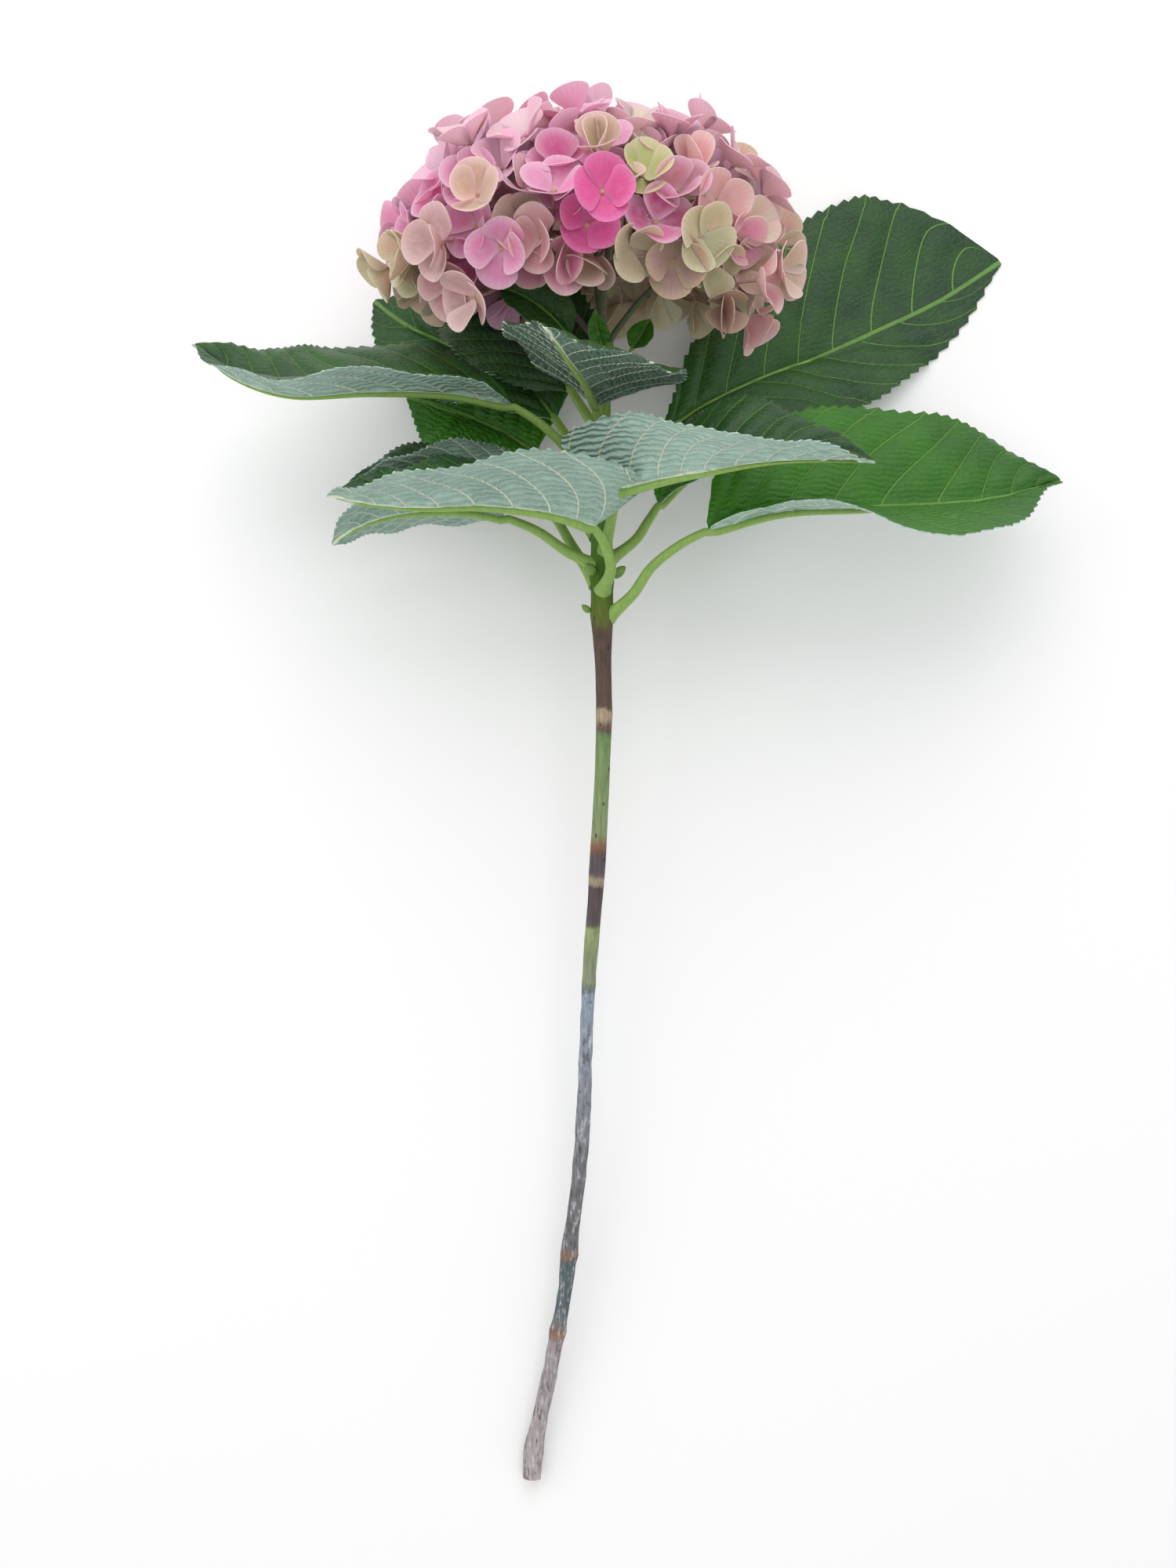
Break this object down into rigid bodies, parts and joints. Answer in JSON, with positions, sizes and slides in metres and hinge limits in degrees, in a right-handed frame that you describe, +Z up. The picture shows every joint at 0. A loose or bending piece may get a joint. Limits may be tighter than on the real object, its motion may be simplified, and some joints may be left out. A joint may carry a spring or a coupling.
{
  "type": "cut hydrangea",
  "caption": "Cut mophead flower on a leafy woody stem, lying on a surface: a round pink and cream head of four-sepalled florets over broad toothed leaves",
  "frame": {"origin": "centre of the bounding box's footprint, on the surface that the stem lies on", "axes": "+Y along the stem towards the flower head, +Z up, +X to the right seen from above"},
  "size_m": [0.3798, 0.5933, 0.1643],
  "materials": {
    "stem_bark": "matt bark, green near the leaves and grey-white near the cut",
    "leaf_green": "leathery leaf, slightly glossy on top, pale and matt beneath",
    "flower_branch": "matt green-brown flower stalk",
    "sepal_pink": "soft matt petal, pink turning cream and green"
  },
  "bodies": {
    "root": {"floret_cluster_01": "sepal_pink", "floret_cluster_02": "sepal_pink", "floret_cluster_03": "sepal_pink", "floret_cluster_04": "sepal_pink", "floret_cluster_05": "sepal_pink", "floret_cluster_06": "sepal_pink", "floret_cluster_07": "sepal_pink", "floret_cluster_08": "sepal_pink", "floret_cluster_09": "sepal_pink", "floret_cluster_10": "sepal_pink", "floret_cluster_11": "sepal_pink", "floret_cluster_12": "sepal_pink", "floret_cluster_13": "sepal_pink", "floret_cluster_14": "sepal_pink", "floret_cluster_15": "sepal_pink", "floret_cluster_16": "sepal_pink", "floret_cluster_17": "sepal_pink", "floret_cluster_18": "sepal_pink", "floret_cluster_19": "sepal_pink", "floret_cluster_20": "sepal_pink", "floret_cluster_21": "sepal_pink", "floret_cluster_22": "sepal_pink", "floret_cluster_23": "sepal_pink", "floret_cluster_24": "sepal_pink", "floret_cluster_25": "sepal_pink", "floret_cluster_26": "sepal_pink", "floret_cluster_27": "sepal_pink", "floret_cluster_28": "sepal_pink", "floret_cluster_29": "sepal_pink", "floret_cluster_30": "sepal_pink", "floret_cluster_31": "sepal_pink", "floret_cluster_32": "sepal_pink", "floret_cluster_33": "sepal_pink", "flower_branch_back": "flower_branch", "flower_branch_front": "flower_branch", "flower_branch_left": "flower_branch", "flower_branch_middle": "flower_branch", "flower_branch_right": "flower_branch", "leaf_back_left": "leaf_green", "leaf_back_right": "leaf_green", "leaf_behind_right": "leaf_green", "leaf_floor_left": "leaf_green", "leaf_front_left": "leaf_green", "leaf_front_right": "leaf_green", "leaf_long_left": "leaf_green", "leaf_low_left": "leaf_green", "leaf_middle_left": "leaf_green", "leaf_right": "leaf_green", "leaf_towards_viewer": "leaf_green", "leaf_under_head": "leaf_green", "side_bud_left": "leaf_green", "side_bud_low": "leaf_green", "side_bud_right": "leaf_green", "stem": "stem_bark", "young_leaf_front": "leaf_green", "young_leaf_left": "leaf_green", "young_leaf_right": "leaf_green"}
  },
  "joints": []
}
